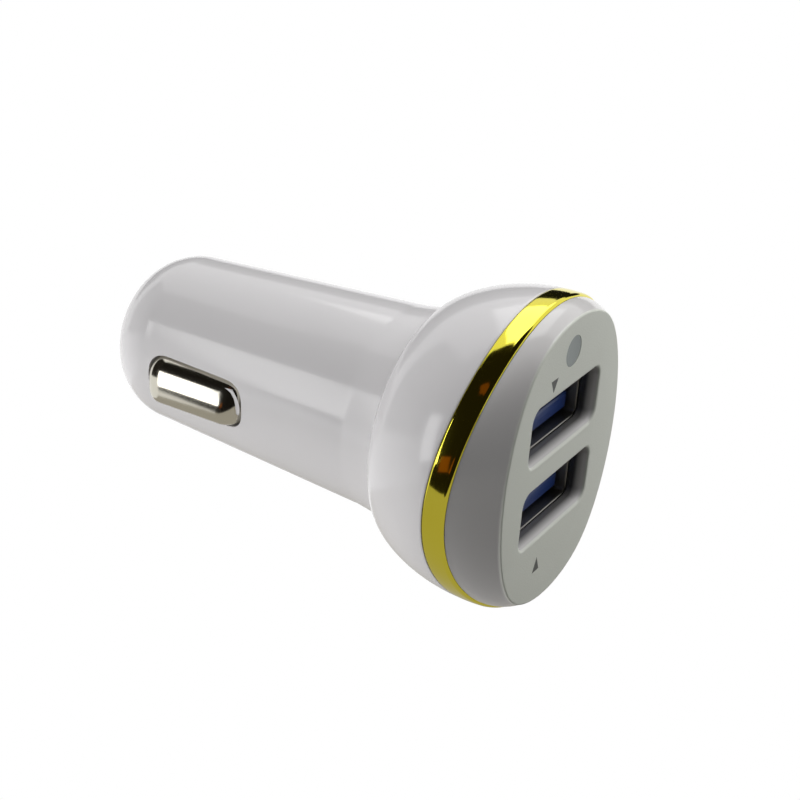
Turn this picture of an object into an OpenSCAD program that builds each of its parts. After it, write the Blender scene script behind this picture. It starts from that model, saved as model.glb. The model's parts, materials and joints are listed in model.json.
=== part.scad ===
// Two-port 12 V car charger plug: a one-piece body, a plated trim ring, a front piece with two
// sockets, and sprung contacts at the nose and the sides. It stands on its front face, nose up,
// with the origin on the barrel's axis in the plane of that face. +Y is the indicator's side.

/* [Plug barrel] */
// Diameter of the barrel where it meets the head
barrel_d = 20.7; // [20:0.1:21.4]
// Diameter that the taper reaches at the tip of the nose
nose_d = 16.25; // [15:0.05:18]
// Length from the shoulder to the tip of the nose
barrel_l = 33.4; // [31:0.1:38]
// Radius of the rounding at the nose
nose_round = 6.2; // [4:0.1:6.6]
// How far the barrel flares out in front of the crease at the head
flare = 0.3; // [0:0.05:0.4]
// Wall thickness of the body
wall = 1.5; // [1.2:0.1:1.8]

/* [Head] */
// Distance from the front face to the shoulder
head_l = 14.75; // [14:0.05:18]
// Mean distance from the front face to the middle of the trim ring
ring_z = 3.9; // [3.6:0.05:4.6]
// Width of the trim ring along the axis
ring_w = 2.2; // [1.5:0.05:3]
// How far the ring swings towards the nose at the sides, and towards the face above and below
ring_dip = 1.05; // [0:0.05:1.2]
// How much further the ring swings towards the face below than above
ring_lean = 0.35; // [0:0.05:0.5]
// Radius of the head at the trim ring
head_r = 15.25; // [15:0.05:17.5]
// How far the middle of the head is lifted off the barrel's axis
head_lift = 0.25; // [0:0.05:0.5]
// Exponent of the head's curve, where 2 is an ellipse
dome_power = 1.65; // [1.4:0.05:2.4]

/* [Front face] */
// How much smaller the face's mean radius is than the ring's
face_step = 1.9; // [1.6:0.1:2.4]
// How much further the face's outline reaches up and down than to the sides
face_tall = 1.35; // [0:0.05:1.6]
// How much the face's diagonals are fuller
face_full = 0.35; // [0:0.05:0.6]
// Radius of the edge round the face
face_edge = 0.4; // [0.3:0.1:0.6]
// Thickness of the front wall
face_wall = 1.7; // [1.4:0.1:2]

/* [Sockets] */
// Distance between the two sockets
socket_pitch = 8.5; // [8.3:0.1:9.2]
// Height of the middle between the sockets, up from the axis
socket_up = 0.55; // [0:0.05:0.8]
// How far the sockets and the indicator sit to the side of the axis
socket_side = 0.5; // [0:0.1:0.8]
// Width of the shell, outside
shell_w = 13.1; // [12.9:0.1:13.3]
// Height of the shell, outside
shell_h = 5.7; // [5.5:0.1:5.8]
// Thickness of the shell's sheet
shell_t = 0.3; // [0.25:0.05:0.4]
// How far the recess in the face is wider than the shell
recess_wide = 0.7; // [0.5:0.1:1.2]
// How far the recess in the face is taller than the shell
recess_tall = 0.2; // [0.1:0.1:0.6]
// Depth of the recess's bevel
recess_d = 0.9; // [0.5:0.1:1.2]
// Space between the tongue and the shell on either side
tongue_side = 0.7; // [0.5:0.1:1]
// Thickness of the tongue
tongue_t = 1.84; // [1.7:0.02:1.9]
// How far the tongue's tip lies behind the shell's mouth
tongue_back = 0.7; // [0.3:0.1:1.2]

/* [Contacts] */
// Length of a side contact along the barrel
lug_l = 11.5; // [9:0.1:11.8]
// Width of a side contact
lug_w = 4.9; // [4:0.1:5]
// How far a side contact's crown stands out of the barrel
lug_out = 0.3; // [0.1:0.05:1]
// Clearance between a side contact and its window
lug_gap = 0.2; // [0.1:0.05:0.5]
// Distance from the shoulder to a side contact's middle
lug_along = 20.7; // [20:0.1:21.2]
// How far the side contacts sit below the middle plane of the barrel
lug_down = 0.7; // [0:0.1:0.8]
// How far a side contact can be pushed in
lug_travel = 1.2; // [0.8:0.1:1.4]
// Diameter of the centre pin
pin_d = 4.4; // [4:0.1:4.5]
// How far the centre pin stands out of the nose, which is also its travel
pin_out = 1.2; // [0.8:0.1:1.6]
// Distance from the tip of the nose to the coil spring's seat
spring_room = 11.4; // [10.8:0.1:12]
// Wire diameter of the coil spring
spring_wire = 0.5; // [0.4:0.05:0.6]
// Number of turns of the coil spring
spring_turns = 6; // [4:1:8]

/* [Indicator] */
// Diameter of the window in the face
light_d = 3.2; // [2.6:0.1:3.4]
// Distance from the face's upper edge to the window's middle
light_in = 3.2; // [3:0.05:3.5]

/* [Boards] */
// Thickness of the boards
board_t = 1.2; // [1:0.1:1.6]
// Distance from the shoulder down to the socket board
board_in = 3.9; // [3.7:0.1:4.4]

/* [Hidden] */

$fn = 48;
around = 64;
eps = 0.01;
fit = 0.1;
slide = 0.05;

barrel_r = barrel_d / 2;
tip_z = head_l + barrel_l;
taper = (barrel_d - nose_d) / 2 / barrel_l;
ring_back = ring_z + ring_w / 2;
ring_front = ring_z - ring_w / 2;
ring_bevel = 0.25;
dome_end = head_l - 0.35;
dome_steps = 10;
flare_l = 4.2;
flare_steps = 4;
cavity_from = ring_back - 1;
cavity_dome = dome_end - wall;

face_r = head_r - face_step;
face_waves = [-face_tall, -face_full];
neck_r = head_r - wall - 0.2;
neck_t = 1.2;
neck_l = 2;
neck_lead = 0.7;

pin_r = pin_d / 2;
collar_r = pin_r + 0.8;
collar_t = 1.2;
nose_wall = 1.6;
nose_solid = 5.2;
cavity_end = tip_z - nose_solid;
collar_z = tip_z - nose_wall - collar_t;
seat_z = tip_z - spring_room;
seat_t = 0.4;
seat_sheet = 0.35;
guide_pin_r = 1.2;
guide_pin_l = 3.6;

lug_z = head_l + lug_along;
lug_land = lug_travel + 2;
flange_t = 0.5;
flange_side = [1, 0.6];
flange_back = barrel_at(lug_z) - lug_land - fit - flange_t;
lug_sheet = 0.4;
lug_corner = 1.5;
lug_flat = 0.6;
leaf_t = 0.25;
leaf_wider = 0.6;

board_x = board_t / 2;
board_z = head_l - board_in;
board_back = board_z + board_t;
board_rim = 0.6;
board_w = 2 * (barrel_at(seat_z) - wall) - 1.4;
guide_t = 0.9;
guide_l = 12;
guide_from = board_back + 4;
guide_grip = 0.8;
link_w = 0.5;
link_l = 2;
board_gap = 1;

shell_front = face_wall + fit;
shell_back = board_z;
shell_r = 0.7;
shell_slot = [1.8, 2.6];
tab_w = 1.2;
tab_l = 3;
socket_y = [socket_up + socket_pitch / 2, socket_up - socket_pitch / 2];
tongue_w = shell_w - 2 * (shell_t + tongue_side);
tongue_z = shell_front + tongue_back;
tongue_drop = 0.1;
block_l = 1.5;
strip_w = 1;
strip_t = 0.25;
strip_in = 0.5;
pin_w = 0.6;
pin_past = 0.8;
contact_x = [for (k = [-7, -2, 2, 7]) k * tongue_w / 22.2];

light_y = head_lift + face_r + face_tall - face_full - light_in;
light_rim = [0.25, 0.6];
led_r = 1.25;
led_z = face_wall + 1.5;
led_l = (board_z - led_z) / 2;
lead_r = 0.22;
lead_gap = 1.27;
lead_y = socket_y[0] + shell_h / 2 + 0.45;

core_r = 3.7;
core_h = 5;
core_rim = 0.9;
post_r = 1.7;
core_at = [-2.1, board_back + 7.4];
input_can = [6.3, 7.7];
output_can = [4, 7];
can_rim = 0.3;
chip = [3.9, 4.9, 1.5];
chip_at = [3.2, board_back + 5];
leg_rows = [-1.905, -0.635, 0.635, 1.905];
leg_w = 0.4;
leg_t = 0.2;
diode = [2.6, 4.3, 2.1];
diode_at = [3.2, board_back + 11];
resistor = [1.6, 0.8, 0.5];
resistor_z = board_back + 13.2;
resistor_y = [-5.2, -3.9, 3.9, 5.2];

function mix(a, b, t) = a + (b - a) * t;
function bulge(t) = pow(1 - pow(1 - t, dome_power), 1 / dome_power);
function barrel_at(z) = barrel_r - (z - head_l) * taper;
function skin_at(z) = barrel_at(z) + flare * pow(min(1, max(0, 1 - (z - dome_end) / flare_l)), 2);
function cavity_r(z) =
    mix(skin_at(dome_end), head_r, bulge((cavity_dome - z) / (cavity_dome - cavity_from))) - wall;

// Height of the trim ring's swing at an angle round the axis
function swing(a) = ring_dip * cos(2 * a) - ring_lean * sin(3 * a);

// A closed outline at height z: a circle of radius r whose distance to its tangents is waved
// by w = [sideways, diagonals], and whose height takes the share k of the ring's swing
function wave(a, w) = w[0] * cos(2 * a) + w[1] * cos(4 * a);
function slope(a, w) = -2 * w[0] * sin(2 * a) - 4 * w[1] * sin(4 * a);
function outline(r, z, k = 0, w = [0, 0], lift = head_lift) = [for (i = [0:around - 1])
    let (a = 360 * i / around, h = r + wave(a, w), g = slope(a, w))
    [h * cos(a) - g * sin(a), lift + h * sin(a) + g * cos(a), z + k * swing(a)]];

// A rectangle with round corners at height z, as points
function rounded(w, h, r, z, n = 6) = [for (q = [0:3], i = [0:n - 1])
    let (a = 90 * (q + i / (n - 1)), sx = (q == 0 || q == 3) ? 1 : -1, sy = q < 2 ? 1 : -1)
    [sx * (w / 2 - r) + r * cos(a), sy * (h / 2 - r) + r * sin(a), z]];

// A solid through closed rings of equal point counts, lowest first, closed by a fan at each end
module loft(rings) {
    n = len(rings[0]);
    last = len(rings) - 1;
    ones = [for (i = [1:n]) 1];
    polyhedron(
        points = concat([for (ring = rings) each ring], [ones * rings[0] / n, ones * rings[last] / n]),
        faces = concat(
            [for (i = [0:n - 1]) [i, (i + 1) % n, (last + 1) * n]],
            [for (j = [0:last - 1], i = [0:n - 1])
                [j * n + i, (j + 1) * n + i, (j + 1) * n + (i + 1) % n, j * n + (i + 1) % n]],
            [for (i = [0:n - 1]) [last * n + (i + 1) % n, last * n + i, (last + 1) * n + 1]]));
}

module plate(w, h, r) {
    square([w - 2 * r, h], center = true);
    square([w, h - 2 * r], center = true);
    for (x = [-1, 1], y = [-1, 1])
        translate([x * (w / 2 - r), y * (h / 2 - r)]) circle(r, $fn = 24);
}

// A rod through a list of points, with slightly larger balls at the bends
module rod(path, r) {
    for (i = [0:len(path) - 2]) {
        d = path[i + 1] - path[i];
        translate(path[i]) rotate([0, acos(d[2] / norm(d)), atan2(d[1], d[0])])
            cylinder(h = norm(d), r = r, $fn = 16);
        if (i > 0) translate(path[i]) sphere(1.06 * r, $fn = 16);
    }
}

// The barrel's taper with its flare at the crease and its rounded nose, inset below the surface
module barrel_solid(inset, from, to, round) {
    r_end = barrel_at(to - round) - inset;
    flare_from = max(from, dome_end);
    rotate_extrude($fn = 90)
        polygon(concat([[0, from]], from < dome_end ? [[skin_at(from) - inset, from]] : [],
            [for (i = [0:flare_steps])
                let (z = mix(flare_from, dome_end + flare_l, i / flare_steps)) [skin_at(z) - inset, z]],
            [for (a = [0:9:90]) [r_end - round + round * cos(a), to - round + round * sin(a)]],
            [[0, to]]));
}

// The head between the ring and the shoulder, inset below the surface, with its end in the barrel
module dome_solid(inset, from, to) {
    end_r = skin_at(dome_end) - inset;
    loft(concat([for (i = [dome_steps:-1:1])
            let (t = pow(i / dome_steps, 1.5), k = bulge(t))
            outline(mix(end_r, head_r - inset, k), mix(to, from, t), t, lift = head_lift * k)],
        [outline(end_r - 1, to + 0.3, lift = 0)]));
}

module plug_body() {
    color("white")
    difference() {
        union() {
            dome_solid(0, ring_back, dome_end);
            difference() {
                barrel_solid(0, dome_end - 2, tip_z, nose_round);
                barrel_solid(wall, dome_end - 3, cavity_end, 1);
            }
            intersection() {
                barrel_solid(eps, dome_end + 2, tip_z, nose_round);
                union() {
                    window_rims();
                    board_guides();
                }
            }
        }
        dome_solid(wall, cavity_from, cavity_dome);
        cylinder(h = dome_end + 1, r = barrel_at(dome_end) - wall);
        windows();
        translate([0, 0, cavity_end - 1])
            cylinder(h = tip_z - nose_wall - cavity_end + 1, r = collar_r + fit);
        cylinder(h = tip_z + 1, r = pin_r + slide);
    }
}

module windows() {
    for (s = [-1, 1])
        translate([s * barrel_r / 3, -lug_down, lug_z]) rotate([0, s * 90, 0])
            linear_extrude(barrel_r) plate(lug_l + 2 * lug_gap, lug_w + 2 * lug_gap, lug_corner + lug_gap);
}

// Flat lands inside the windows, which the side contacts' flanges stop on
module window_rims() {
    land_x = flange_back + flange_t + fit;
    rim_l = lug_l + 2 * flange_side[0] + 1.6;
    rim_w = lug_w + 2 * flange_side[1] + 1.4;
    for (s = [-1, 1])
        translate([s > 0 ? land_x : -barrel_r, -lug_down - rim_w / 2, lug_z - rim_l / 2])
            cube([barrel_r - land_x, rim_w, rim_l]);
}

// Ribs at each edge of the long board
module board_guides() {
    grip_y = board_w / 2 - guide_grip;
    for (s = [-1, 1], x = [board_x + fit, -board_x - fit - guide_t])
        translate([x, s > 0 ? grip_y : -barrel_r, guide_from])
            cube([guide_t, barrel_r - grip_y, guide_l]);
}

module trim_ring() {
    color("gold")
    difference() {
        loft([outline(head_r - ring_bevel, ring_front, 1), outline(head_r, ring_front + ring_bevel, 1),
            outline(head_r, ring_back, 1)]);
        loft([outline(head_r - wall, ring_front - 1, 1), outline(head_r - wall, ring_back + 1, 1)]);
    }
}

// The front piece's tapered side, from the face's edge at 0 to the ring at 1
function side_ring(t) =
    let (swell = mix(t, sin(90 * t), 0.35))
    outline(mix(face_r, head_r - ring_bevel, swell), mix(face_edge, ring_front, t), t,
        face_waves * (1 - t));

module front_bezel() {
    neck_end = ring_back + neck_l;
    mouth_w = shell_w - 0.2;
    mouth_h = shell_h - 0.2;
    inner_r = neck_r - neck_t;
    color("whitesmoke")
    difference() {
        union() {
            loft(concat(
                [for (a = [0:30:60])
                    outline(face_r - face_edge * (1 - sin(a)), face_edge * (1 - cos(a)), w = face_waves)],
                [for (t = [0:0.25:1]) side_ring(t)]));
            loft([outline(neck_r, ring_front - 0.3, 1), outline(neck_r, ring_back, 1),
                outline(neck_r - neck_lead, neck_end)]);
        }
        loft([outline(face_r - neck_t, face_wall, w = face_waves), outline(inner_r, ring_front + 1),
            outline(inner_r - neck_lead, neck_end + 1)]);
        for (y = socket_y)
            translate([socket_side, y, 0])
                loft([rounded(shell_w + recess_wide, shell_h + recess_tall, 1.3, -eps),
                    rounded(mouth_w, mouth_h, 0.9, recess_d),
                    rounded(mouth_w, mouth_h, 0.9, face_wall + 1)]);
        translate([socket_side, light_y, -1])
            cylinder(h = face_wall + 2, r = light_d / 2 + slide, $fn = 32);
        translate([socket_side, light_y, face_wall]) {
            cylinder(h = light_rim[1] + fit, r = light_d / 2 + light_rim[0] + fit, $fn = 32);
            cylinder(h = neck_end, r = led_r + 0.25, $fn = 32);
        }
    }
}

module light_guide() {
    color([0.75, 0.75, 0.75])
    translate([socket_side, light_y, 0]) {
        translate([0, 0, slide]) cylinder(h = face_wall + 1.2, r = light_d / 2, $fn = 32);
        translate([0, 0, face_wall])
            cylinder(h = light_rim[1], r = light_d / 2 + light_rim[0], $fn = 32);
    }
}

module centre_pin() {
    ball_z = tip_z + pin_out - pin_r;
    color("silver") {
        translate([0, 0, collar_z]) cylinder(h = collar_t, r = collar_r);
        translate([0, 0, collar_z]) cylinder(h = ball_z - collar_z, r = pin_r);
        translate([0, 0, ball_z]) sphere(pin_r);
        translate([0, 0, collar_z - guide_pin_l])
            cylinder(h = guide_pin_l + eps, r = guide_pin_r, $fn = 24);
    }
}

// An open coil with one closed turn at each end
module pin_spring() {
    coil_r = pin_r - 0.25;
    wire_r = spring_wire / 2;
    from = seat_z + seat_t + wire_r + 0.02;
    to = collar_z - wire_r - 0.02;
    steps = 14;
    sides = 6;
    n = spring_turns * steps;
    turn = 1 / spring_turns;
    closed = (spring_wire + 0.05) / (to - from);
    function lift(t) = t < turn ? closed * t / turn : t > 1 - turn ? 1 - closed * (1 - t) / turn
        : mix(closed, 1 - closed, (t - turn) / (1 - 2 * turn));
    color("silver")
    polyhedron(
        points = [for (i = [0:n], k = [0:sides - 1])
            let (a = 360 * i / steps, b = 360 * k / sides, r = coil_r + wire_r * cos(b))
            [r * cos(a), r * sin(a), mix(from, to, lift(i / n)) + wire_r * sin(b)]],
        faces = concat(
            [[for (k = [0:sides - 1]) k]],
            [for (i = [0:n - 1], k = [0:sides - 1])
                let (j = (k + 1) % sides)
                [i * sides + k, (i + 1) * sides + k, (i + 1) * sides + j, i * sides + j]],
            [[for (k = [sides - 1:-1:0]) n * sides + k]]));
}

// A soldered cup with two legs that clasp the end of the long board
module spring_seat() {
    seat_r = pin_r + 0.8;
    leg = [0.3, 3, 3.2];
    color("goldenrod")
    translate([0, 0, seat_z]) {
        cylinder(h = seat_t, r = seat_r);
        difference() {
            cylinder(h = 1.4, r = seat_r);
            translate([0, 0, -1]) cylinder(h = 4, r = seat_r - seat_sheet);
        }
        for (s = [-1, 1])
            translate([s > 0 ? board_x : -board_x - leg[0], -leg[1] / 2, 0.2 - leg[2]]) cube(leg);
    }
}

// A plate with a rounded outline whose edge is turned down all round
module crown(l, w, corner, base, top) {
    turn = w / 2 - lug_flat;
    rotate([0, 90, 0])
        loft(concat([rounded(l, w, corner, base)],
            [for (a = [0:15:90])
                let (in = turn * (1 - cos(a)))
                rounded(l - 2 * in, w - 2 * in, max(corner - in, 0.4), top - turn * (1 - sin(a)))]));
}

// A stamped contact: a hollow crown with a flange that stops inside the window
module side_contact(s) {
    top = barrel_at(lug_z) + lug_out;
    color("silver")
    translate([0, -lug_down, lug_z]) rotate([0, 0, s > 0 ? 0 : 180])
        difference() {
            union() {
                crown(lug_l, lug_w, lug_corner, flange_back, top);
                translate([flange_back, 0, 0]) rotate([0, 90, 0])
                    linear_extrude(flange_t)
                        plate(lug_l + 2 * flange_side[0], lug_w + 2 * flange_side[1], 1);
            }
            crown(lug_l - 2 * lug_sheet, lug_w - 2 * lug_sheet, lug_corner - lug_sheet, flange_back - 1,
                top - lug_sheet);
        }
}

// A bent strip: its foot on the board, its crest against the flange of a side contact
module leaf(s) {
    foot = board_x + leaf_t / 2;
    crest = flange_back - 0.03 - leaf_t / 2;
    path = [[foot, -10.5], [foot, -7.5], [mix(foot, crest, 0.05), -6.6], [mix(foot, crest, 0.85), -1.6],
        [crest, 0], [mix(foot, crest, 0.9), 1.2], [mix(foot, crest, 0.7), 2.4]];
    function normal(i) =
        let (d = path[min(i + 1, len(path) - 1)] - path[max(i - 1, 0)])
        [d[1], -d[0]] / norm(d) * leaf_t / 2;
    color("silver")
    translate([0, -lug_down, lug_z]) rotate([0, 0, s > 0 ? 0 : 180])
    rotate([90, 0, 0]) linear_extrude(lug_w + leaf_wider, center = true)
        polygon(concat([for (i = [0:len(path) - 1]) path[i] + normal(i)],
            [for (i = [len(path) - 1:-1:0]) path[i] - normal(i)]));
}

module socket_board() {
    side = shell_w / 2 + board_rim;
    low = socket_y[1] - shell_h / 2 - board_rim;
    high = lead_y + 2 * board_rim;
    color("seagreen")
    difference() {
        intersection() {
            translate([0, 0, board_z]) cylinder(h = board_t, r = cavity_r(board_back) - 0.5);
            translate([socket_side - side, low, board_z]) cube([2 * side, high - low, board_t]);
        }
        for (y = socket_y) {
            usb_pins(y, slide);
            shell_tabs(y, slide);
        }
        led_leads(slide);
    }
}

module main_board() {
    color("seagreen")
    translate([-board_x, -board_w / 2, board_back + board_gap])
        cube([board_t, board_w, seat_z - board_back - board_gap]);
}

// Pins that stand on the socket board and lie against the long board
module board_pins() {
    color("gold")
    for (k = [-1.5:1.5])
        translate([-board_x - link_w, 2 * k * link_w - link_w / 2, board_back])
            cube([link_w, link_w, link_l]);
}

module shell_tabs(y, gap) {
    for (x = [-1, 1])
        translate([socket_side + x * (shell_w - shell_t) / 2, y, board_z + 0.4])
            cube([shell_t + 2 * gap, tab_w + 2 * gap, tab_l], center = true);
}

module usb_pins(y, gap) {
    for (x = contact_x)
        translate([socket_side + x - pin_w / 2 - gap, y - tongue_drop - strip_t - gap, board_z - 2])
            cube([pin_w + 2 * gap, strip_t + 2 * gap, 2 + board_t + pin_past]);
}

// A folded shell with slots for its spring tongues, and a tab on either side through the board
module usb_shell(y) {
    color("silver") {
        translate([socket_side, y, shell_front])
            difference() {
                linear_extrude(shell_back - shell_front) plate(shell_w, shell_h, shell_r);
                translate([0, 0, -1]) linear_extrude(shell_back)
                    plate(shell_w - 2 * shell_t, shell_h - 2 * shell_t, shell_r - shell_t);
                for (x = [-1, 1])
                    translate([(x * shell_w / 2 - shell_slot[0]) / 2, -shell_h, shell_slot[1] + 0.6])
                        cube([shell_slot[0], 2 * shell_h, shell_slot[1]]);
            }
        shell_tabs(y, 0);
    }
}

module usb_tongue(y) {
    color([0.08, 0.15, 0.4])
    difference() {
        translate([socket_side, y, 0]) {
            translate([-tongue_w / 2, -tongue_drop - tongue_t, tongue_z])
                cube([tongue_w, tongue_t, shell_back - tongue_z]);
            translate([0, 0, shell_back - block_l]) linear_extrude(block_l)
                plate(shell_w - 2 * shell_t - fit, shell_h - 2 * shell_t - fit, 0.3);
        }
        contact_strips(y);
        usb_pins(y, 0);
    }
}

module contact_strips(y) {
    for (x = contact_x)
        translate([socket_side + x - strip_w / 2, y - tongue_drop - strip_t, tongue_z + strip_in])
            cube([strip_w, strip_t, shell_back - 1 - tongue_z - strip_in]);
}

module usb_contacts(y) {
    color("gold") {
        contact_strips(y);
        usb_pins(y, 0);
    }
}

module status_led() {
    color([0.85, 0.9, 0.95])
    translate([socket_side, light_y, led_z + led_r]) {
        sphere(led_r, $fn = 32);
        cylinder(h = led_l - led_r, r = led_r, $fn = 32);
    }
}

module led_leads(gap = 0) {
    top = led_z + led_l;
    color("silver")
    for (x = [socket_side - lead_gap / 2, socket_side + lead_gap / 2])
        rod([[x, light_y, top], [x, light_y, mix(top, board_z, 0.2)], [x, lead_y, mix(top, board_z, 0.75)],
            [x, lead_y, board_back + 0.8]], lead_r + gap);
}

// Places on the two sides of the long board, given as [y, z]
module on_right(at) {
    translate([board_x, at[0], at[1]]) rotate([0, 90, 0]) children();
}
module on_left(at) {
    translate([-board_x, at[0], at[1]]) rotate([0, -90, 0]) children();
}

module inductor_core() {
    color("dimgray")
    on_right(core_at) {
        cylinder(h = core_rim, r = core_r);
        cylinder(h = core_h, r = post_r, $fn = 32);
        translate([0, 0, core_h - core_rim]) cylinder(h = core_rim, r = core_r);
    }
}

module inductor_winding() {
    winding_l = core_h - 2 * core_rim;
    color("peru")
    on_right(core_at)
        translate([0, 0, core_rim]) difference() {
            cylinder(h = winding_l, r = core_r - 0.5);
            translate([0, 0, -1]) cylinder(h = winding_l + 2, r = post_r, $fn = 32);
        }
}

module can(size) {
    r = size[0] / 2;
    rotate_extrude()
        polygon([[0, 0], [r, 0], [r, 1], [r - can_rim, 1 + can_rim], [r, 1 + 2 * can_rim],
            [r, size[1] - can_rim], [r - can_rim, size[1]], [0, size[1]]]);
}

module input_capacitor() {
    color([0.15, 0.15, 0.2])
    translate([-board_x - input_can[0] / 2, -2.5, board_back + 2.8]) can(input_can);
}

module output_capacitor() {
    color([0.15, 0.15, 0.2])
    translate([board_x + output_can[0] / 2, 3.9, board_back + 2]) can(output_can);
}

module converter_chip() {
    color([0.1, 0.1, 0.1])
    on_left(chip_at) translate([0, 0, 0.1 + chip[2] / 2]) cube(chip, center = true);
}

module chip_legs() {
    foot_l = 0.7;
    color("silver")
    on_left(chip_at)
        for (s = [-1, 1], y = leg_rows) {
            knee = chip[0] / 2 + leg_w / 2;
            translate([s * (knee + foot_l / 2), y, leg_t / 2]) cube([foot_l, leg_w, leg_t], center = true);
            translate([s * knee, y, chip[2] / 4]) cube([leg_w, leg_w, chip[2] / 2], center = true);
        }
}

module rectifier() {
    color([0.12, 0.12, 0.12])
    on_left(diode_at) translate([0, 0, diode[2] / 2]) cube(diode, center = true);
}

module chip_resistors() {
    color([0.2, 0.2, 0.22])
    for (y = resistor_y)
        on_right([y, resistor_z]) translate([0, 0, resistor[2] / 2]) cube(resistor, center = true);
}

plug_body();
trim_ring();
front_bezel();
light_guide();
centre_pin();
pin_spring();
spring_seat();
side_contact(1);  // side_contact_right
side_contact(-1);  // side_contact_left
leaf(1);  // leaf_right
leaf(-1);  // leaf_left
socket_board();
main_board();
board_pins();
usb_shell(socket_y[0]);  // usb_shell_upper
usb_shell(socket_y[1]);  // usb_shell_lower
usb_tongue(socket_y[0]);  // usb_tongue_upper
usb_tongue(socket_y[1]);  // usb_tongue_lower
usb_contacts(socket_y[0]);  // usb_contacts_upper
usb_contacts(socket_y[1]);  // usb_contacts_lower
status_led();
led_leads();
inductor_core();
inductor_winding();
input_capacitor();
output_capacitor();
converter_chip();
chip_legs();
rectifier();
chip_resistors();
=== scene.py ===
# Two-port car charger plug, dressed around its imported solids
import json
import math

import bmesh
import bpy
import numpy as np
from mathutils import Matrix, Vector


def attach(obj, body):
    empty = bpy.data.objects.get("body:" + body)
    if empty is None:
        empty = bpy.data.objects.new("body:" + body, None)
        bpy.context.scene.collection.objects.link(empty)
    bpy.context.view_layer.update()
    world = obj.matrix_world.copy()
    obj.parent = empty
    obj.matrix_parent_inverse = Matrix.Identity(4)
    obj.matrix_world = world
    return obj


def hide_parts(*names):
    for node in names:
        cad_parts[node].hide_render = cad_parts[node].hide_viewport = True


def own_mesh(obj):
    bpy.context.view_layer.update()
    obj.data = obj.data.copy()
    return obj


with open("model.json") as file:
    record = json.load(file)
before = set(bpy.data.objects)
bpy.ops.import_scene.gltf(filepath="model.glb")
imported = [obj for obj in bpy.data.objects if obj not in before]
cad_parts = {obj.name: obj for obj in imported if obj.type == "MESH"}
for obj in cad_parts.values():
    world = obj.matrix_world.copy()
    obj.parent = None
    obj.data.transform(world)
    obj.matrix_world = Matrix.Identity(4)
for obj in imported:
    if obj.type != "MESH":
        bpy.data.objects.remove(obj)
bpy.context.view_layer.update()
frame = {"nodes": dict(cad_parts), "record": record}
mm = 0.001

# The camera, in the part's frame and in millimetres
view = {
    "place": (135.455, 75.362, -57.129),
    "right": (-0.4767, 0.09708, -0.87369),
    "down": (0.3076, -0.91263, -0.26924),
    "lens": 79.88,
    "shift": (-0.10351, -0.08175),
}


def addCamera():
    cam = bpy.data.cameras.new("camera")
    cam.lens = view["lens"]
    cam.sensor_width = 36
    cam.shift_x, cam.shift_y = view["shift"]
    cam.clip_start = 0.01
    cam.clip_end = 10
    obj = bpy.data.objects.new("camera", cam)
    right = Vector(view["right"]).normalized()
    up = -Vector(view["down"])
    up = (up - right * up.dot(right)).normalized()
    turn = Matrix((right, up, right.cross(up))).transposed()
    obj.matrix_world = Matrix.Translation(Vector(view["place"]) * mm) @ turn.to_4x4()
    bpy.context.scene.collection.objects.link(obj)
    bpy.context.scene.camera = obj
    return turn


studio = addCamera()  # its columns are the studio's right, up and front
print("camera set")


# Materials
def linear(code):
    # an sRGB hex value as the linear colour that shaders take
    values = [int(code[i:i + 2], 16) / 255 for i in (1, 3, 5)]
    return tuple(v / 12.92 if v <= 0.04045 else ((v + 0.055) / 1.055) ** 2.4 for v in values) + (1,)


def addNode(tree, kind, settings=None, links=None):
    # a key is a socket's name or number, or else one of the node's own properties
    node = tree.nodes.new(kind)
    for key, value in (settings or {}).items():
        if isinstance(key, int) or key in node.inputs:
            node.inputs[key].default_value = value
        else:
            setattr(node, key, value)
    for key, source in (links or {}).items():
        tree.links.new(source, node.inputs[key])
    return node


def newMaterial(name, colour, rough, metal=0.0, ior=None):
    mat = bpy.data.materials.new(name)
    mat.use_nodes = True
    tree = mat.node_tree
    shader = tree.nodes["Principled BSDF"]
    shader.inputs["Base Color"].default_value = linear(colour)
    shader.inputs["Roughness"].default_value = rough
    shader.inputs["Metallic"].default_value = metal
    if ior:
        shader.inputs["IOR"].default_value = ior
    return mat, tree, shader


def grain(tree, shader, size, height, detail=2.0, stretch=(1, 1, 1)):
    # a bump with grains of a size and height in mm
    place = addNode(tree, "ShaderNodeTexCoord")
    scale = addNode(tree, "ShaderNodeMapping", {"Scale": stretch}, {"Vector": place.outputs["Object"]})
    noise = addNode(tree, "ShaderNodeTexNoise", {"Scale": 1 / (size * mm), "Detail": detail},
                    {"Vector": scale.outputs["Vector"]})
    bump = addNode(tree, "ShaderNodeBump", {"Strength": 1.0, "Distance": height * mm},
                   {"Height": noise.outputs["Fac"]})
    tree.links.new(bump.outputs["Normal"], shader.inputs["Normal"])


def tint(tree, shader, low, high, size):
    # a slow change between two colours, in patches of a size in mm
    place = addNode(tree, "ShaderNodeTexCoord")
    noise = addNode(tree, "ShaderNodeTexNoise", {"Scale": 1 / (size * mm), "Detail": 3.0},
                    {"Vector": place.outputs["Object"]})
    ramp = addNode(tree, "ShaderNodeValToRGB", links={"Fac": noise.outputs["Fac"]})
    ramp.color_ramp.elements[0].color = linear(low)
    ramp.color_ramp.elements[1].color = linear(high)
    tree.links.new(ramp.outputs["Color"], shader.inputs["Base Color"])


mats = {}


def whiteGloss():  # injection-moulded ABS from a polished mould: even white with a clear reflection
    mat, tree, shader = newMaterial("moulded white ABS", "#DEDCDD", 0.14, ior=1.5)
    tint(tree, shader, "#DBD9DA", "#E1DFE0", 9)
    grain(tree, shader, 2.5, 0.0015, 1.0)
    mats["whiteGloss"] = mat


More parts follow.
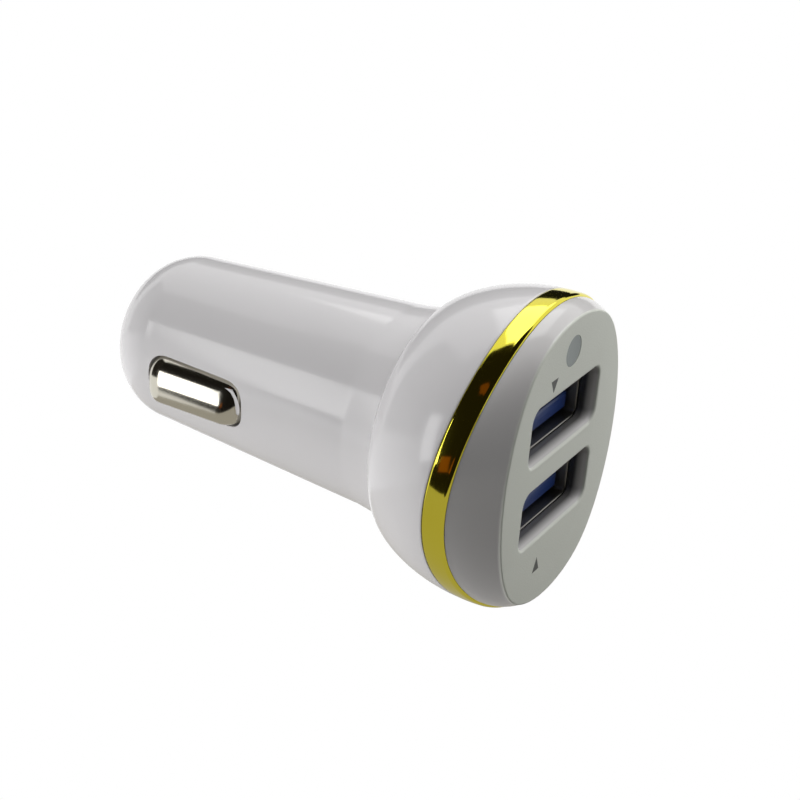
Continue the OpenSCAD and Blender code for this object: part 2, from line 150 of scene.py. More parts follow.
# in mm: the texture and where it ends, and the painted shade in the socket mouths, a dark grey that stands in
# for the shadow deep in the recesses
texture = {
    "grain": 0.1923, "relief": 0.02, "from": 0.05, "to": 0.3, "rough": 0.5, "sideRough": 0.14,
    "mouthShadeReach": 11.3, "mouthShadeFrom": 0.4, "mouthShadeTo": 1.2, "mouthShade": 0.85,
}


def frontWhite():  # the same ABS, with a spark-eroded texture on the flat face only, which softens its sheen
    mat, tree, shader = newMaterial("moulded white ABS with textured face", "#D6D5D2", 0.25, ior=1.5)
    place = addNode(tree, "ShaderNodeTexCoord")
    apart = addNode(tree, "ShaderNodeSeparateXYZ", links={"Vector": place.outputs["Object"]})
    onFace = addNode(tree, "ShaderNodeMapRange",
                     {"From Min": texture["from"] * mm, "From Max": texture["to"] * mm,
                      "To Min": 1.0, "To Max": 0.0},
                     {"Value": apart.outputs["Z"]})
    # sockets 6 and 7 and output 2 of a Mix node are its two colours and their mix
    paint = addNode(tree, "ShaderNodeMix", {"data_type": "RGBA", 6: linear("#D9D7D6"), 7: linear("#D6D9CF")},
                    {"Factor": onFace.outputs["Result"]})
    # painted shade in the mouths: a dark grey, deepening towards the shells, that stands in for the shadow
    # inside the recesses
    flat = addNode(tree, "ShaderNodeVectorMath", {"operation": "MULTIPLY", 1: (1, 1, 0)},
                   {0: place.outputs["Object"]})
    reach = addNode(tree, "ShaderNodeVectorMath", {"operation": "LENGTH"}, {0: flat.outputs["Vector"]})
    inside = addNode(tree, "ShaderNodeMath", {"operation": "LESS_THAN", 1: texture["mouthShadeReach"] * mm},
                     {0: reach.outputs["Value"]})
    depth = addNode(tree, "ShaderNodeMapRange",
                    {"From Min": texture["mouthShadeFrom"] * mm, "From Max": texture["mouthShadeTo"] * mm,
                     "To Min": 0.0, "To Max": texture["mouthShade"]},
                    {"Value": apart.outputs["Z"]})
    mouthShade = addNode(tree, "ShaderNodeMath", {"operation": "MULTIPLY"},
                  {0: inside.outputs["Value"], 1: depth.outputs["Result"]})
    # mixes the painted shade's dark grey into the paint inside the mouths
    shadedPaint = addNode(tree, "ShaderNodeMix", {"data_type": "RGBA", 7: linear("#2C2B2A")},
                   {"Factor": mouthShade.outputs["Value"], 6: paint.outputs[2]})
    rough = addNode(tree, "ShaderNodeMapRange", {"To Min": texture["sideRough"], "To Max": texture["rough"]},
                    {"Value": onFace.outputs["Result"]})
    noise = addNode(tree, "ShaderNodeTexNoise", {"Scale": 1 / (texture["grain"] * mm), "Detail": 2.0},
                    {"Vector": place.outputs["Object"]})
    height = addNode(tree, "ShaderNodeMath", {"operation": "MULTIPLY"},
                     {0: onFace.outputs["Result"], 1: noise.outputs["Fac"]})
    bump = addNode(tree, "ShaderNodeBump", {"Strength": 1.0, "Distance": texture["relief"] * mm},
                   {"Height": height.outputs["Value"]})
    tree.links.new(shadedPaint.outputs[2], shader.inputs["Base Color"])
    tree.links.new(rough.outputs["Result"], shader.inputs["Roughness"])
    tree.links.new(bump.outputs["Normal"], shader.inputs["Normal"])
    mats["frontWhite"] = mat


def goldPlate():  # thin gold plating on moulded plastic: a mirror with slow waves in it
    mat, tree, shader = newMaterial("bright gold plating", "#E6DA4C", 0.08, 1.0)
    tint(tree, shader, "#E2D646", "#EADE52", 6)
    grain(tree, shader, 3.0, 0.004, 1.0)
    mats["goldPlate"] = mat


def nickel():  # nickel-plated stamping: a bright mirror with drawing marks along it
    mat, tree, shader = newMaterial("nickel plating", "#CFCBBE", 0.13, 1.0)
    grain(tree, shader, 1.2, 0.0015, 2.0, (6, 6, 1))
    mats["nickel"] = mat


def bluePlastic():  # glass-filled PBT: dull blue, with fibres that break up its sheen
    mat, tree, shader = newMaterial("moulded blue PBT", "#1C3570", 0.36)
    tint(tree, shader, "#1A3168", "#203C7A", 1.5)
    grain(tree, shader, 0.4, 0.006, 2.0)
    mats["bluePlastic"] = mat


def clearGrey():  # frosted polycarbonate: a grey glow without a clear view through
    mat, tree, shader = newMaterial("frosted polycarbonate", "#7C8684", 0.4, ior=1.58)
    shader.inputs["Transmission Weight"].default_value = 0.2
    grain(tree, shader, 0.3, 0.003)
    mats["clearGrey"] = mat


# name, colour, roughness, metallic, and the size and height of the grain in mm
plainFinishes = {
    "tinPlate": ("tin-plated steel sheet", "#9A9893", 0.38, 1.0, 0.5, 0.002),  # a dull grey sheen
    "springSteel": ("drawn spring steel wire", "#B5B3AE", 0.25, 1.0, 0.3, 0.002),  # bright, with fine lines
    "brass": ("gold-flashed brass", "#D9BE78", 0.2, 1.0, 0.6, 0.002),  # warm and bright
    "copper": ("enamelled copper wire", "#B8692F", 0.28, 0.9, 0.4, 0.02),  # red metal under a clear coat
    "ferrite": ("sintered ferrite", "#2B2B2B", 0.6, 0.0, 0.5, 0.01),  # near black and powdery
    "capacitorSleeve": ("PVC shrink sleeve", "#20233A", 0.3, 0.0, 2.0, 0.004),  # a tight dark skin
    "blackResin": ("moulded epoxy", "#161616", 0.5, 0.0, 0.3, 0.006),  # matt black
    "board": ("solder mask on glass epoxy", "#1E6B3C", 0.35, 0.0, 0.7, 0.004),  # green lacquer over a weave
    "ink": ("pad-printed grey ink", "#4A4B49", 0.55, 0.0, 0.3, 0.002),  # flat dark grey
}


def plainFinish(key):
    name, colour, rough, metal, size, height = plainFinishes[key]
    mat, tree, shader = newMaterial(name, colour, rough, metal)
    grain(tree, shader, size, height)
    mats[key] = mat


for make in (whiteGloss, frontWhite, goldPlate, nickel, bluePlastic, clearGrey):
    make()
for key in plainFinishes:
    plainFinish(key)
print("materials made:", len(mats))


# Shapes are stacks of rings, with all sizes in millimetres
# The wave is how the ring's edges rise and fall round the plug
plug = {
    "barrelR": 10.35, "noseR": 8.125, "barrelL": 33.4, "noseRound": 6.2, "wall": 1.5,
    "flare": 0.32, "flareL": 3.5, "flareSoft": 0.0012,
    "headL": 14.75, "headR": 15.25, "lift": 0.25, "ringBack": 5.0, "ringFront": 2.8,
    "domeEnd": 14.4, "domePower": 1.65, "domeRound": 0.606, "domeSteps": 60, "innerSteps": 12,
    "waveTwo": 1.05, "waveThree": 0.35, "around": 192,
}
tipZ = plug["headL"] + plug["barrelL"]
angles = np.linspace(0, 2 * math.pi, plug["around"], endpoint=False)


def mix(a, b, t):
    return a + (b - a) * t


def wave(a):
    return plug["waveTwo"] * np.cos(2 * a) - plug["waveThree"] * np.sin(3 * a)


def outline(r, z, share=0.0, waves=(0.0, 0.0), lift=plug["lift"]):
    # a ring at height z that takes a share of the wave; waves make it other than round
    a = angles
    h = r + waves[0] * np.cos(2 * a) + waves[1] * np.cos(4 * a)
    g = -2 * waves[0] * np.sin(2 * a) - 4 * waves[1] * np.sin(4 * a)
    return np.c_[h * np.cos(a) - g * np.sin(a), lift + h * np.sin(a) + g * np.cos(a), z + share * wave(a)]


def barrelAt(z):
    return plug["barrelR"] - (z - plug["headL"]) * (plug["barrelR"] - plug["noseR"]) / plug["barrelL"]


def skinAt(z):
    # the barrel's outside, which swells a little where it meets the head
    reach = 1 - (z - plug["domeEnd"]) / plug["flareL"]
    return barrelAt(z) + plug["flare"] * (reach + math.sqrt(reach * reach + plug["flareSoft"])) / 2


def bulge(t):
    return (1 - (1 - t) ** plug["domePower"]) ** plug["domeRound"]


def tidyMesh(obj, sharp=32):
    bm = bmesh.new()
    bm.from_mesh(obj.data)
    bmesh.ops.remove_doubles(bm, verts=bm.verts, dist=1e-7)
    bmesh.ops.recalc_face_normals(bm, faces=bm.faces)
    bm.to_mesh(obj.data)
    bm.free()
    obj.data.shade_smooth()
    obj.data.set_sharp_from_angle(angle=math.radians(sharp))


def meshFrom(name, rings, material, loop=False, sharp=32, centre=(0, 0, 0)):
    # skins a stack of rings, and closes it with two caps or, for a loop, back onto its first ring
    n, m = len(rings[0]), len(rings)
    verts = (np.vstack(rings) + np.array(centre)) * mm
    faces = [(j * n + i, j * n + (i + 1) % n, (j + 1) % m * n + (i + 1) % n, (j + 1) % m * n + i)
             for j in range(m if loop else m - 1) for i in range(n)]
    if not loop:
        faces.append(tuple(range(n - 1, -1, -1)))
        faces.append(tuple(range((m - 1) * n, m * n)))
    mesh = bpy.data.meshes.new(name)
    mesh.from_pydata([tuple(v) for v in verts], [], faces)
    obj = bpy.data.objects.new(name, mesh)
    bpy.context.scene.collection.objects.link(obj)
    mesh.materials.append(material)
    tidyMesh(obj, sharp)
    return obj


def lathe(name, section, material, centre=(0, 0, 0), n=64):
    turn = np.linspace(0, 2 * math.pi, n, endpoint=False)
    rings = [np.c_[r * np.cos(turn), r * np.sin(turn), np.full(n, z)] for r, z in section]
    return meshFrom(name, rings, material, centre=centre)


def cutAway(obj, cutters):
    for cutter in cutters:
        mod = obj.modifiers.new("cut", "BOOLEAN")
        mod.object = cutter
        mod.operation = "DIFFERENCE"
        mod.solver = "EXACT"
    bpy.context.view_layer.update()
    graph = bpy.context.evaluated_depsgraph_get()
    mesh = bpy.data.meshes.new_from_object(obj.evaluated_get(graph))
    obj.modifiers.clear()
    obj.data = mesh
    for cutter in cutters:
        bpy.data.objects.remove(cutter)
    tidyMesh(obj)


corners = ((1, 1), (-1, 1), (-1, -1), (1, -1))


def roundPlate(w, h, r, z, steps=10):
    pts = []
    for q, (sx, sy) in enumerate(corners):
        for i in range(steps):
            a = math.radians(90 * (q + i / (steps - 1)))
            pts.append((sx * (w / 2 - r) + r * math.cos(a), sy * (h / 2 - r) + r * math.sin(a), z))
    return np.array(pts)


def mirrored(rings, side):
    return rings if side > 0 else [ring * np.array([-1, 1, 1]) for ring in rings]


def finish(obj, body, slot, *nodes):
    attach(obj, body)
    if nodes:
        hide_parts(*nodes)
    print(obj.name, len(obj.data.polygons), "faces")


# Side contacts: l and w are the crown's sizes, with a gap round it in the window, and out is how far it
# stands out; depth, full and square give its roundness, and lean is how far its top lies off the middle
lug = {
    "l": 11.5, "w": 4.9, "gap": 0.05, "z": 35.45, "down": 0.7, "out": 1.2, "wall": 0.4,
    "depth": 2.5, "full": 2.0, "lean": 1.3, "square": 2.7, "steps": 32, "innerSteps": 12,
    "edge": 0.08, "bottom": 4.5, "flangeBack": 5.17, "flangeT": 0.5, "flangeSide": 1.0, "flangeUp": 0.6,
}
lugTop = barrelAt(lug["z"]) + lug["out"]
lugMiddle = (0, -lug["down"], lug["z"])


def loaf(l, w, share, x, steps=16):
    # a long rounded ring across the contact, drawn in to a share of its width
    pts = []
    low = lug["lean"] * (1 - share)
    for q, (sz, sy) in enumerate(corners):
        for i in range(steps):
            a = math.radians(90 * (q + i / (steps - 1)))
            u = abs(math.cos(a)) ** (2 / lug["square"]) * w / 2 * share
            v = abs(math.sin(a)) ** (2 / lug["square"]) * w / 2 * share
            pts.append((x, sy * v - low, sz * ((l - w) / 2 + u)))
    return np.array(pts)


def crownRings(l, w, base, steps):
    rings = []
    for i in range(steps + 1):
        a = math.radians(90 * (i / steps))
        share = max(math.cos(a) ** (2 / lug["full"]), 0.004)
        rings.append(loaf(l, w, share, base + lug["depth"] * math.sin(a) ** (2 / lug["full"])))
    return rings


def sideContact(side, name, body, node):
    back, rim = lug["flangeBack"], lug["flangeBack"] + lug["flangeT"]
    l, w = lug["l"], lug["w"]
    innerL, innerW = l - 2 * lug["wall"], w - 2 * lug["wall"]
    flangeL, flangeW = l + 2 * lug["flangeSide"], w + 2 * lug["flangeUp"]
    shoulder = lugTop - lug["depth"]
    rings = crownRings(innerL, innerW, shoulder - lug["wall"], lug["innerSteps"])[::-1]
    rings += [loaf(innerL, innerW, 1, back), loaf(flangeL, flangeW, 1, back), loaf(flangeL, flangeW, 1, rim)]
    rings += [loaf(l, w, 1, rim)] + crownRings(l, w, shoulder, lug["steps"])
    obj = meshFrom(name, mirrored(rings, side), mats["nickel"], centre=lugMiddle, sharp=40)
    finish(obj, body, "nickel", node)


sideContact(1, "sideContactRight", "right_contact", "side_contact_right")
sideContact(-1, "sideContactLeft", "left_contact", "side_contact_left")


# Plug body
def windowCutter(side):
    # the edge is rounded and follows the barrel's skin
    edge, gap = lug["edge"], lug["gap"]
    flat = loaf(lug["l"] + 2 * gap, lug["w"] + 2 * gap, 1, 0)
    wide = loaf(lug["l"] + 2 * gap + 2 * edge, lug["w"] + 2 * gap + 2 * edge, 1, 0)
    rings = []
    steps = [(1.6, -1.5)]  # the first ring stands clear of the skin
    for a in np.radians((12, 30, 50, 70, 90)):
        steps.append((1 - math.sin(a), 1 - math.cos(a)))
    for out, deep in steps:
        ring = mix(flat, wide, out)
        for p in ring:
            p[0] = math.sqrt(skinAt(lug["z"] + p[2]) ** 2 - (p[1] - lug["down"]) ** 2) - deep * edge
        rings.append(ring)
    last = flat.copy()
    last[:, 0] = lug["bottom"]
    rings.append(last)
    return meshFrom("windowCutter", mirrored(rings, side), mats["whiteGloss"], centre=lugMiddle)


# Nose contact and its bore: out is how far the tip stands out
pin = {
    "r": 2.2, "collarR": 3.0, "collarT": 1.2, "stemR": 1.2, "stemL": 3.6, "out": 1.2,
    "noseWall": 1.6, "noseSolid": 5.2, "tipGap": 0.05, "collarGap": 0.1,
}


def domeRings(startR, endR, startZ, endZ, steps, ease):
    # from the barrel to the ring, which carries all of the wave
    rings = []
    for t in [(1 - i / steps) ** ease for i in range(steps + 1)]:
        k = bulge(t)
        rings.append(outline(mix(startR, endR, k), mix(startZ, endZ, t), t, lift=plug["lift"] * k))
    return rings


def plugBody():
    p = plug
    rings = []
    for drop, rise in ((0.09, 0.0), (0.03, 0.03), (0.0, 0.1)):  # softened lip at the ring
        rings.append(outline(p["headR"] - drop, p["ringBack"] + rise, 1))
    startR = p["barrelR"] + p["flare"]
    rings += domeRings(startR, p["headR"], p["domeEnd"], p["ringBack"], p["domeSteps"], 1.9)[1:]
    noseZ = tipZ - p["noseRound"]
    flareEnd = p["domeEnd"] + p["flareL"] + 1
    for z in [*np.linspace(p["domeEnd"] + 0.06, flareEnd, 20), *np.linspace(20, noseZ, 40)]:
        rings.append(outline(skinAt(z), z, lift=0))
    endR = barrelAt(noseZ)
    for a in np.radians(np.linspace(3, 90, 24)):
        r = endR - p["noseRound"] * (1 - math.cos(a))
        rings.append(outline(r, noseZ + p["noseRound"] * math.sin(a), lift=0))
    # the bore for the pin, then the inside of barrel and dome
    bore, chamber = pin["r"] + pin["tipGap"], pin["collarR"] + pin["collarGap"]
    rings.append(outline(bore + 0.04, tipZ, lift=0))
    for r, z in ((bore, tipZ - 0.05), (bore, tipZ - pin["noseWall"]), (chamber, tipZ - pin["noseWall"]),
                 (chamber, tipZ - pin["noseSolid"])):
        rings.append(outline(r, z, lift=0))
    for z in np.linspace(tipZ - pin["noseSolid"], p["domeEnd"] - 1, 12):
        rings.append(outline(barrelAt(z) - p["wall"], z, lift=0))
    innerR, innerHeadR, innerZ = p["barrelR"] - p["wall"], p["headR"] - p["wall"], p["domeEnd"] - p["wall"]
    rings += domeRings(innerR, innerHeadR, innerZ, p["ringBack"], p["innerSteps"], 1.6)[-2::-1]
    obj = meshFrom("plugBody", rings, mats["whiteGloss"], loop=True)
    cutAway(obj, [windowCutter(1), windowCutter(-1)])
    finish(obj, "casing", "white_gloss", "plug_body")


plugBody()


# Trim ring and front piece
def trimRing():
    p = plug
    z0, z1, r = p["ringFront"], p["ringBack"], p["headR"]
    section = [(r - 0.3, z0 + 0.02), (r - 0.2, z0 + 0.0), (r - 0.1, z0 + 0.08), (r - 0.02, z0 + 0.2)]
    section += [(r + 0.02, z0 + 0.35)]
    for i in range(10):  # a slight swell across the ring
        section.append((r + 0.02 + 0.03 * math.sin(math.pi * i / 9), mix(z0 + 0.4, z1 - 0.2, i / 9)))
    section += [(r + 0.01, z1 - 0.12), (r - 0.04, z1 - 0.04), (r - 0.12, z1 - 0.01), (r - 0.3, z1 - 0.01)]
    section += [(r - p["wall"], z1 - 0.01), (r - p["wall"], z0 + 0.02)]
    obj = meshFrom("trimRing", [outline(a, b, 1) for a, b in section], mats["goldPlate"], loop=True, sharp=50)
    finish(obj, "casing", "gold_plate", "trim_ring")


front = {
    "faceR": 13.35, "waves": (-1.35, -0.35), "edge": 0.2, "wall": 1.7, "bevel": 0.25, "swell": 0.35,
    "neckGap": 0.2, "neckT": 1.2, "neckL": 2.0, "neckLead": 0.7,
}
# The shells' outside is w by h; the mouth is wider and taller, and lip rounds its edge
socket = {
    "side": 0.5, "ys": (4.8, -3.7), "w": 13.1, "h": 5.7, "t": 0.3, "front": 1.8, "back": 10.85,
    "wide": 0.7, "tall": 0.2, "deep": 1.2, "lip": 0.3, "mouthR": 1.3, "throat": 0.2, "throatR": 0.9,
    "tongueW": 11.1, "tongueT": 1.84, "tongueBack": 0.7, "tongueDrop": 0.1, "blockL": 1.5, "blockR": 0.3,
}
light = {"y": 11.4, "d": 3.0, "gap": 0.015, "flangeR": 0.25}


def recessCutter(y):
    # a rounded lip, then a funnel that narrows to just inside the shell
    w, h, r, lip = socket["w"], socket["h"], socket["mouthR"], socket["lip"]
    mouthW, mouthH = w + socket["wide"], h + socket["tall"]
    throatW, throatH = w - socket["throat"], h - socket["throat"]
    rings = [roundPlate(mouthW + 2 * lip, mouthH + 2 * lip, r + lip, -0.5)]
    for a in np.radians(np.arange(6, 70, 9)):
        o = lip * (1 - math.sin(a))
        rings.append(roundPlate(mouthW + 2 * o, mouthH + 2 * o, r + o, lip * (1 - math.cos(a)) * 0.6))
    fromZ = rings[-1][0][2]
    for i in range(1, 11):
        t = i / 10
        k = 1 - math.sin(math.pi / 2 * t)
        corner, z = mix(socket["throatR"], r, k), mix(fromZ, socket["deep"], t)
        rings.append(roundPlate(mix(throatW, mouthW, k), mix(throatH, mouthH, k), corner, z))
    rings.append(roundPlate(throatW, throatH, socket["throatR"], front["wall"] + 1))
    return meshFrom("recessCutter", rings, mats["frontWhite"], centre=(socket["side"], y, 0))


def discCutter():
    r = light["d"] / 2 + light["gap"]
    return lathe("discCutter", [(r, -0.4), (r, 3.0)], mats["frontWhite"], (socket["side"], light["y"], 0))


def frontBezel():
    p, f = plug, front
    rings = []
    for a in np.radians(np.linspace(0, 80, 9)):
        r = f["faceR"] - f["edge"] * (1 - math.sin(a))
        rings.append(outline(r, f["edge"] * (1 - math.cos(a)), waves=f["waves"]))
    for t in np.linspace(0.02, 0.985, 40):  # the side wall turns from the face's outline to the ring's wave
        swell = mix(t, math.sin(math.pi / 2 * t), f["swell"])
        waves = tuple(w * (1 - t) for w in f["waves"])
        r = mix(f["faceR"], p["headR"] - f["bevel"], swell)
        rings.append(outline(r, mix(f["edge"], p["ringFront"], t), t, waves))
    rings.append(outline(p["headR"] - f["bevel"] - 0.02, p["ringFront"] - 0.02, 1))
    rings.append(outline(p["headR"] - f["bevel"] - 0.09, p["ringFront"], 1))
    # the neck that snaps into the head, and the inside
    neckR = p["headR"] - p["wall"] - f["neckGap"]
    neckEnd = p["ringBack"] + f["neckL"]
    inner = neckR - f["neckT"]
    rings.append(outline(neckR, p["ringFront"], 1))
    rings.append(outline(neckR, p["ringBack"], 1))
    rings.append(outline(neckR - f["neckLead"], neckEnd))
    rings.append(outline(inner - f["neckLead"], neckEnd))
    rings.append(outline(inner, p["ringFront"] + 1))
    rings.append(outline(f["faceR"] - f["neckT"], f["wall"], waves=f["waves"]))
    obj = meshFrom("frontBezel", rings, mats["frontWhite"])
    cutAway(obj, [recessCutter(y) for y in socket["ys"]] + [discCutter()])
    finish(obj, "casing", "white_satin", "front_bezel")


trimRing()
frontBezel()


def lightGuide():
    r = light["d"] / 2
    wide = r + light["flangeR"]
    section = [(0.05, 0.06), (0.8, 0.05), (r - 0.25, 0.03), (r - 0.08, 0.02), (r - 0.02, 0.03), (r, 0.05)]
    section += [(r, 1.7), (wide, 1.7), (wide, 2.3), (r, 2.3), (r, 2.9), (0.05, 2.9)]
    obj = lathe("lightGuide", section, mats["clearGrey"], (socket["side"], light["y"], 0))
    finish(obj, "casing", "clear_grey", "light_guide")


def centrePin():
    r, top = pin["r"], tipZ + pin["out"]
    collarTop = tipZ - pin["noseWall"]
    collarZ = collarTop - pin["collarT"]
    foot = collarZ - pin["stemL"]
    section = [(0.05, foot), (pin["stemR"] - 0.2, foot), (pin["stemR"], foot + 0.2), (pin["stemR"], collarZ)]
    section += [(pin["collarR"], collarZ), (pin["collarR"], collarTop), (r, collarTop)]
    for a in np.radians(np.linspace(0, 89, 20)):
        section.append((r * math.cos(a), top - r + r * math.sin(a)))
    finish(lathe("centrePin", section, mats["nickel"], n=96), "nose_contact", "nickel", "centre_pin")


lightGuide()
centrePin()


# Sockets
def usbShell(name, y, node):
    w, h, t = socket["w"], socket["h"], socket["t"]
    z0, z1 = socket["front"], socket["back"]
    rings = [
        roundPlate(w - 2 * t, h - 2 * t, 0.4, z1),
        roundPlate(w - 2 * t, h - 2 * t, 0.4, z0 + 0.2),
        roundPlate(w - 2 * t + 0.08, h - 2 * t + 0.08, 0.45, z0 + 0.05),
        roundPlate(w - t, h - t, 0.55, z0),
        roundPlate(w - 0.08, h - 0.08, 0.65, z0 + 0.05),
        roundPlate(w, h, 0.7, z0 + 0.2),
        roundPlate(w, h, 0.7, z1),
    ]
    obj = meshFrom(name, rings, mats["tinPlate"], loop=True, centre=(socket["side"], y, 0))
    finish(obj, "casing", "tin_plate", node)


def usbTongue(name, y, node):
    # the tongue tapers to its tip and grows out of a block at the back
    w, t = socket["tongueW"], socket["tongueT"]
    tip, blockZ = socket["front"] + socket["tongueBack"], socket["back"] - socket["blockL"]
    tongue = [
        roundPlate(w - 0.5, t - 0.5, 0.1, tip),
        roundPlate(w - 0.15, t - 0.15, 0.2, tip + 0.12),
        roundPlate(w, t, 0.25, tip + 0.35),
        roundPlate(w, t, 0.25, blockZ),
    ]
    for ring in tongue:
        ring[:, 1] -= socket["tongueDrop"] + t / 2
    blockW, blockH = w + 1.3, t + 3.16
    block = [roundPlate(blockW, blockH, socket["blockR"], z) for z in (blockZ, socket["back"])]
    obj = meshFrom(name, tongue + block, mats["bluePlastic"], centre=(socket["side"], y, 0))
    finish(obj, "casing", "blue_plastic", node)


for level, y in zip(("upper", "lower"), socket["ys"]):
    usbShell("usbShell" + level.title(), y, "usb_shell_" + level)
    usbTongue("usbTongue" + level.title(), y, "usb_tongue_" + level)


# Coil spring of the nose contact: fixed is the height that stays when it is pressed
spring = {
    "coilR": 1.95, "wire": 0.25, "from": 37.42, "to": 45.08, "turns": 6.0, "fixed": 37.15, "keep": 0.852,
}


def springTree():
    # a helix swept with a round wire, from named sizes
    tree = bpy.data.node_groups.new("coil spring", "GeometryNodeTree")
    for name, start in (("Coil radius", 0.002), ("Wire radius", 0.0002), ("Height", 0.008), ("Turns", 6.0)):
        entry = tree.interface.new_socket(name, in_out="INPUT", socket_type="NodeSocketFloat")
        entry.default_value = start
    tree.interface.new_socket("Geometry", in_out="OUTPUT", socket_type="NodeSocketGeometry")
    given = addNode(tree, "NodeGroupInput").outputs
    helix = addNode(tree, "GeometryNodeCurveSpiral", {"Resolution": 36},
                    {"Start Radius": given["Coil radius"], "End Radius": given["Coil radius"],
                     "Height": given["Height"], "Rotations": given["Turns"]})
    wire = addNode(tree, "GeometryNodeCurvePrimitiveCircle", {"Resolution": 14},
                   {"Radius": given["Wire radius"]})
    sweep = addNode(tree, "GeometryNodeCurveToMesh", {"Fill Caps": True},
                    {"Curve": helix.outputs["Curve"], "Profile Curve": wire.outputs["Curve"]})
    real = addNode(tree, "GeometryNodeRealizeInstances", links={"Geometry": sweep.outputs["Mesh"]})
    paint = addNode(tree, "GeometryNodeSetMaterial", {"Material": mats["springSteel"]},
                    {"Geometry": real.outputs["Geometry"]})
    addNode(tree, "NodeGroupOutput", links={"Geometry": paint.outputs["Geometry"]})
    return tree


def coilSpring():
    obj = bpy.data.objects.new("coilSpring", bpy.data.meshes.new("coilSpring"))
    bpy.context.scene.collection.objects.link(obj)
    mod = obj.modifiers.new("coil", "NODES")
    mod.node_group = springTree()
    sizes = {"Coil radius": spring["coilR"] * mm, "Wire radius": spring["wire"] * mm,
             "Height": (spring["to"] - spring["from"]) * mm, "Turns": spring["turns"]}
    for item in mod.node_group.interface.items_tree:
        if item.in_out == "INPUT":
            mod[item.identifier] = sizes[item.name]
    bpy.context.view_layer.update()
    mesh = bpy.data.meshes.new_from_object(obj.evaluated_get(bpy.context.evaluated_depsgraph_get()))
    obj.modifiers.clear()
    obj.data = mesh
    mesh.transform(Matrix.Translation((0, 0, spring["from"] * mm)))
    tidyMesh(obj)
    finish(obj, "casing", "spring_steel", "pin_spring")
    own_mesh(obj)


# Leaf springs of the side contacts: foot and crest are their distances from the plug's axis
leaf = {"foot": 0.725, "crest": 5.015, "t": 0.25, "w": 5.5, "endTaper": 0.3, "fixed": 0.6, "keep": 0.737}
# the bow, as heights from the contact's middle and shares of the way from foot to crest
bow = (
    (-10.5, 0), (-9.5, 0), (-8.3, 0), (-7.5, 0.0047), (-6.7, 0.05), (-5.6, 0.2), (-3.9, 0.5),
    (-2.1, 0.8), (-0.9, 0.95), (0, 1), (0.7, 0.97), (1.5, 0.86), (2.4, 0.7),
)


def leafSpring(side, name, node):
    # a bowed strip, soldered at its foot
    path = [(mix(leaf["foot"], leaf["crest"], share), z) for z, share in bow]
    ends = (0, len(path) - 1)
    rings = []
    for i, (x, z) in enumerate(path):
        before, after = path[max(i - 1, 0)], path[min(i + 1, len(path) - 1)]
        d = Vector((after[0] - before[0], after[1] - before[1])).normalized() * leaf["t"] / 2
        w = leaf["w"] / 2 - (leaf["endTaper"] if i in ends else 0)
        rings.append(np.array([(x + d[1], -w, z - d[0]), (x + d[1], w, z - d[0]),
                               (x - d[1], w, z + d[0]), (x - d[1], -w, z + d[0])]))
    obj = meshFrom(name, mirrored(rings, side), mats["springSteel"], centre=lugMiddle)
    finish(obj, "casing", "spring_steel", node)
    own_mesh(obj)


coilSpring()
leafSpring(1, "leafRight", "leaf_right")
leafSpring(-1, "leafLeft", "leaf_left")

# Pointers beside the sockets: place, width and height, which is negative for one that points down
marks = {"Upper": (3.9, 9.1, 1.4, -1.3), "Lower": (3.05, -9.6, 1.3, 1.5), "proud": 0.004, "sunk": 0.03}


def printedMark(level):
    # a plain pointer, printed on the face
    x, y, w, h = marks[level]
    flat = np.array([(x - w / 2, y - h / 2), (x, y + h / 2), (x + w / 2, y - h / 2)])
    rings = [np.c_[flat, np.full(3, z)] for z in (-marks["proud"], marks["sunk"])]
    finish(meshFrom("mark" + level, rings, mats["ink"]), "casing", "black_resin")


printedMark("Upper")
printedMark("Lower")

# Solids that stay take the finish of their slot
finishes = {
    "white_gloss": "whiteGloss", "white_satin": "frontWhite", "gold_plate": "goldPlate", "nickel": "nickel",
    "clear_grey": "clearGrey", "blue_plastic": "bluePlastic", "tin_plate": "tinPlate", "brass": "brass",
    "spring_steel": "springSteel", "copper": "copper", "ferrite": "ferrite", "board": "board",
    "capacitor_sleeve": "capacitorSleeve", "black_resin": "blackResin",
}
for part in frame["record"]["subparts"]:
    node = frame["nodes"][part["node"]]
    node.data.materials.clear()
    node.data.materials.append(mats[finishes[part["material_slot"]]])


# Light: a white surround that only the camera, mirrors and glass see, and a faint one for the rest
def worldLight():
    world = bpy.data.worlds.new("studio")
    world.use_nodes = True
    tree = world.node_tree
    bpy.context.scene.world = world
    dim = tree.nodes["Background"]
    dim.inputs["Color"].default_value = linear("#FFFFFF")
    dim.inputs["Strength"].default_value = 0.03
    white = addNode(tree, "ShaderNodeBackground", {"Color": linear("#FFFFFF"), "Strength": 1.0})
    path = addNode(tree, "ShaderNodeLightPath").outputs
    most = addNode(tree, "ShaderNodeMath", {"operation": "MAXIMUM"},
                   {0: path["Is Camera Ray"], 1: path["Is Glossy Ray"]})
    more = addNode(tree, "ShaderNodeMath", {"operation": "MAXIMUM"},
                   {0: most.outputs["Value"], 1: path["Is Transmission Ray"]})
    both = addNode(tree, "ShaderNodeMixShader", links={
        0: more.outputs["Value"], 1: dim.outputs["Background"], 2: white.outputs["Background"]})
    tree.links.new(both.outputs["Shader"], tree.nodes["World Output"].inputs["Surface"])


middle = Vector((0, 0, 22))  # of the plug, in mm


def studioPlace(obj, place, wide, facing=None):
    # place, wide and facing are the studio's right, up and front, in mm from the plug's middle
    offset = studio @ Vector(place)
    z = (studio @ Vector(facing) if facing else offset).normalized()
    x = studio @ Vector(wide)
    x = (x - z * x.dot(z)).normalized()
    turn = Matrix((x, z.cross(x), z)).transposed().to_4x4()
    obj.matrix_world = Matrix.Translation((offset + middle) * mm) @ turn
    bpy.context.scene.collection.objects.link(obj)


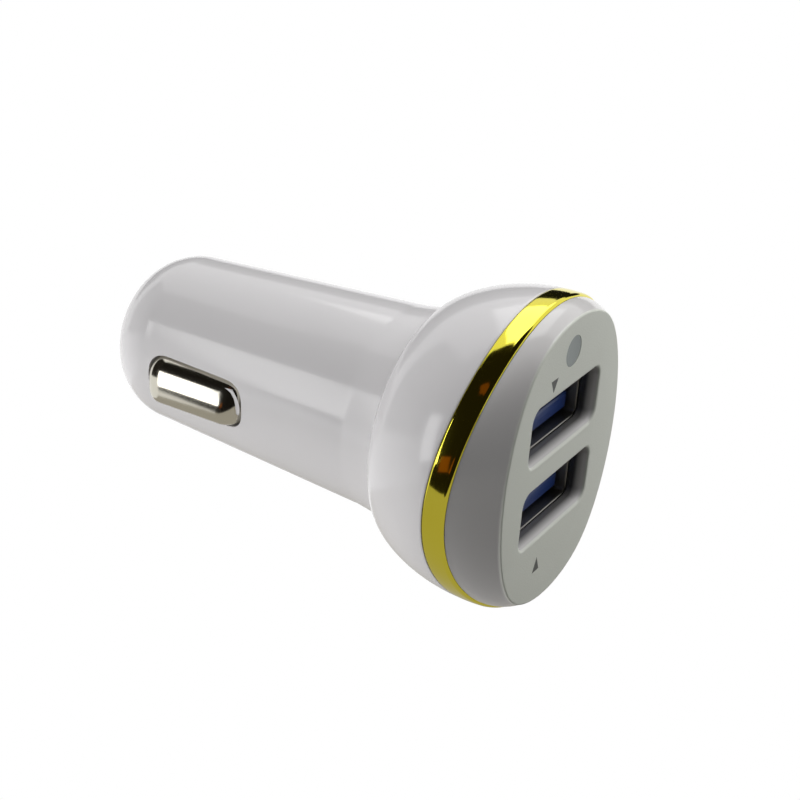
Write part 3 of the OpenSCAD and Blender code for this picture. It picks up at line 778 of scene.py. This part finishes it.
def softBox(name, place, size, radiance, wide=(1, 0, 0), shown=False):
    # a soft lamp; only one that is shown is seen in reflections
    lamp = bpy.data.lights.new(name, "AREA")
    lamp.shape = "RECTANGLE"
    lamp.size, lamp.size_y = size[0] * mm, size[1] * mm
    lamp.energy = radiance * math.pi * lamp.size * lamp.size_y
    obj = bpy.data.objects.new(name, lamp)
    obj.visible_glossy = shown
    studioPlace(obj, place, wide)


def card(name, place, size, radiance, colour="#FFFFFF", wide=(1, 0, 0), facing=None):
    # a plate that shows only in reflections: the dark room, the table and small lamps
    mat = bpy.data.materials.new("studio " + name)
    mat.use_nodes = True
    tree = mat.node_tree
    glow = addNode(tree, "ShaderNodeEmission", {"Color": linear(colour), "Strength": radiance})
    tree.links.new(glow.outputs["Emission"], tree.nodes["Material Output"].inputs["Surface"])
    w, h = size[0] / 2 * mm, size[1] / 2 * mm
    mesh = bpy.data.meshes.new(name)
    mesh.from_pydata([(-w, -h, 0), (w, -h, 0), (w, h, 0), (-w, h, 0)], [], [(0, 1, 2, 3)])
    mesh.materials.append(mat)
    obj = bpy.data.objects.new(name, mesh)
    obj.visible_camera = obj.visible_diffuse = obj.visible_shadow = obj.visible_transmission = False
    studioPlace(obj, place, wide, facing)


worldLight()
card("overhead", (52, 330, -43), (235, 240), 2.8)
softBox("window", (-250, 30, 140), (58, 150), 4.2, wide=(0, 0, 1), shown=True)
softBox("topRight", (195, 243, 81), (260, 260), 3.3)
softBox("top", (0, 320, 0), (260, 260), 1.85)
softBox("left", (-320, 0, 0), (260, 260), 1.8, wide=(0, 0, 1))
softBox("leftLow", (-245, -196, 65), (260, 260), 2.9)
softBox("right", (300, -40, -105), (260, 260), 1.5, wide=(0, 0, 1))
card("room", (140, 200, 190), (1200, 1400), 0.012, "#FFF0DC", facing=(0, 0, 1))
card("gap", (0, 250, -300), (700, 190), 0.01, facing=(0, 0, -1))
card("leftSide", (-420, 330, 60), (500, 560), 0.02, "#FFF0DC", wide=(0, 0, 1), facing=(-1, 0, 0))
card("table", (0, -60, -80), (300, 300), 0.45, "#FFFAEE", facing=(0, -1, 0))
card("amberHigh", (-98, 163, 176), (28, 32), 0.26, "#C07038")
card("amberLow", (-187, -50, 168), (44, 46), 0.36, "#C07030")
bpy.context.scene.view_settings.view_transform = "Standard"
print("studio lit")
